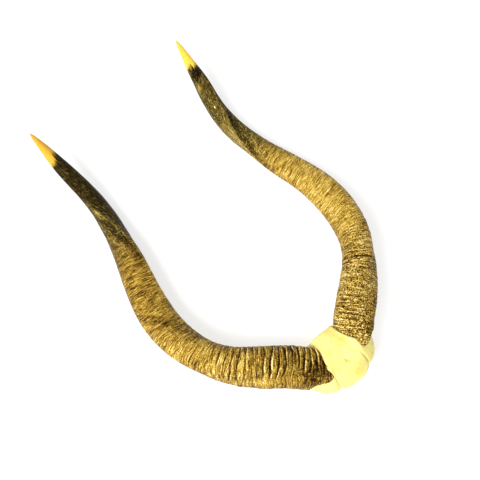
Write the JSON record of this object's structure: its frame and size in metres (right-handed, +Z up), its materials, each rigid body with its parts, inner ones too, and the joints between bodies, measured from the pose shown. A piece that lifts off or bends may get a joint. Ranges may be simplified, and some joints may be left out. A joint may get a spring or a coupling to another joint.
{
  "type": "antelope skull cap with horns",
  "caption": "Pair of spiral, lyre-shaped antelope horns on the sawn bone cap of the skull, lying on their backs.",
  "frame": {"origin": "middle of the object's box, on the floor it lies on", "axes": "+Y from the bone cap towards the horn tips, +X towards the animal's left horn, +Z up, away from the floor; the animal's forehead faces up"},
  "size_m": [0.3856, 0.611, 0.0897],
  "materials": {
    "bone": "dry cleaned bone, matt, pale cream yellow",
    "horn_left": "satin horn, ringed golden brown, dark above, pale yellow tip",
    "horn_right": "satin horn, ringed dark brown, near black above, pale yellow tip"
  },
  "bodies": {
    "root": {"skull_cap": "bone", "left_horn": "horn_left", "right_horn": "horn_right"}
  },
  "joints": []
}
